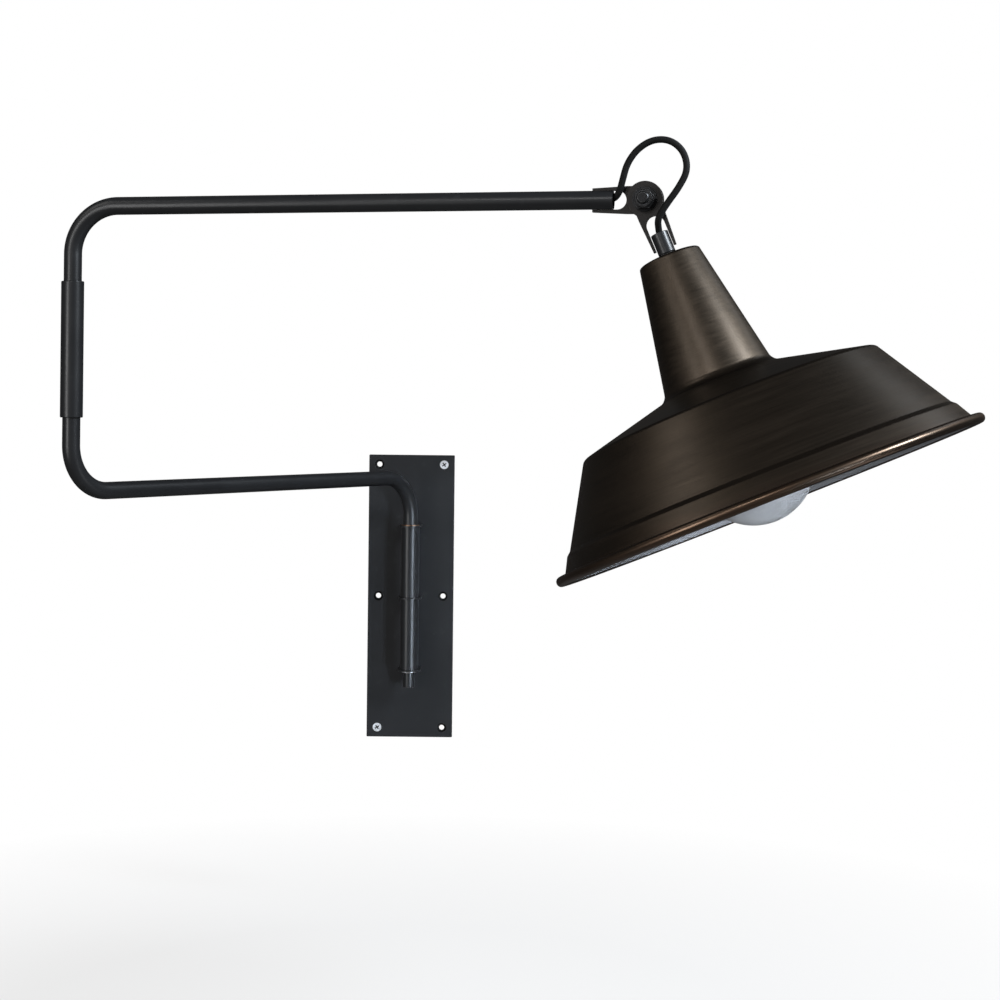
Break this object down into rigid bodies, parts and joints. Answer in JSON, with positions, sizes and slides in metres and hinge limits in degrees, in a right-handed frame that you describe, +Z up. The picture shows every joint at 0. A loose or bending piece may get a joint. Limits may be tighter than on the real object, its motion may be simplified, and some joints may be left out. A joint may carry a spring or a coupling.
{
  "type": "swing arm wall sconce",
  "caption": "Wall plate with a double tubular swing arm and a tilting spun metal dish shade around a globe bulb, with a cord looped over the knuckle.",
  "frame": {"origin": "centre of the wall plate's back face, on the wall", "axes": "+Z up, +Y into the wall, so the lamp stands out towards -Y; +X to the right as seen facing the wall"},
  "size_m": [0.7421, 0.7349, 0.5643],
  "materials": {
    "black_steel": "satin black powder coat",
    "zinc_steel": "bright zinc plate",
    "bronzed_steel": "dark bronze satin lacquer",
    "blackened_steel": "black oxide, slightly oiled",
    "bush_bronze": "sintered bronze",
    "nylon": "moulded nylon",
    "fibre": "pressed fibre",
    "shade_bronze": "spun, dark bronze lacquer outside, pale enamel inside",
    "bakelite": "moulded thermoset",
    "ceramic": "glazed steatite",
    "brass": "drawn brass",
    "frosted_glass": "frosted opal glass",
    "nickel": "nickel plate",
    "black_glass": "vitrified insulator",
    "cord_textile": "black braided textile sleeve over two cores"
  },
  "bodies": {
    "wall_bracket": {"wall_plate": "black_steel", "wall_screws": "zinc_steel", "top_pivot_tab": "black_steel", "middle_pivot_tab": "black_steel", "bottom_pivot_tab": "black_steel", "upper_pivot_sleeve": "black_steel", "lower_pivot_sleeve": "black_steel", "upper_pivot_bush": "bush_bronze", "lower_pivot_bush": "bush_bronze"},
    "lower_arm": {"lower_arm_tube": "black_steel", "pivot_nipple": "black_steel", "pivot_clip": "zinc_steel", "elbow_sleeve": "black_steel", "elbow_thrust_washer": "nylon", "lower_arm_cable": "cord_textile"},
    "upper_arm": {"upper_arm_tube": "black_steel", "upper_arm_cable": "cord_textile", "arm_lug": "bronzed_steel", "back_washer": "blackened_steel", "friction_disc": "fibre", "front_washer": "blackened_steel", "knuckle_bolt": "blackened_steel", "lock_nut": "blackened_steel", "lock_nut_insert": "nylon", "cord_loop": "cord_textile"},
    "lamp_head": {"head_lug": "bronzed_steel", "stem_tube": "black_steel", "stem_plug": "zinc_steel", "threaded_pipe": "blackened_steel", "upper_neck_nut": "blackened_steel", "neck_washer": "blackened_steel", "lower_neck_nut": "blackened_steel", "holder_nut": "zinc_steel", "shade": "shade_bronze", "holder_cap": "bakelite", "holder_body": "bakelite", "holder_core": "ceramic", "holder_screw_shell": "brass", "holder_contact": "brass", "bulb_globe": "frosted_glass", "bulb_cap": "nickel", "bulb_insulator": "black_glass", "bulb_tip": "nickel", "head_cable": "cord_textile"}
  },
  "joints": [
    {"name": "wall_swing", "type": "hinge", "parent": "wall_bracket", "child": "lower_arm", "pos_m": [0, -0.026, 0], "axis": [0, 0, 1], "range_deg": [-48, 120]},
    {"name": "elbow_swing", "type": "hinge", "parent": "lower_arm", "child": "upper_arm", "pos_m": [-0.27038, -0.39815, 0.2465], "axis": [0, 0, 1], "range_deg": [-150, 20]},
    {"name": "head_tilt", "type": "hinge", "parent": "upper_arm", "child": "lamp_head", "pos_m": [0.20402, -0.49899, 0.367], "axis": [-0.2079, -0.9781, 0], "range_deg": [-50, 50], "deforming": ["cord_loop"]}
  ]
}
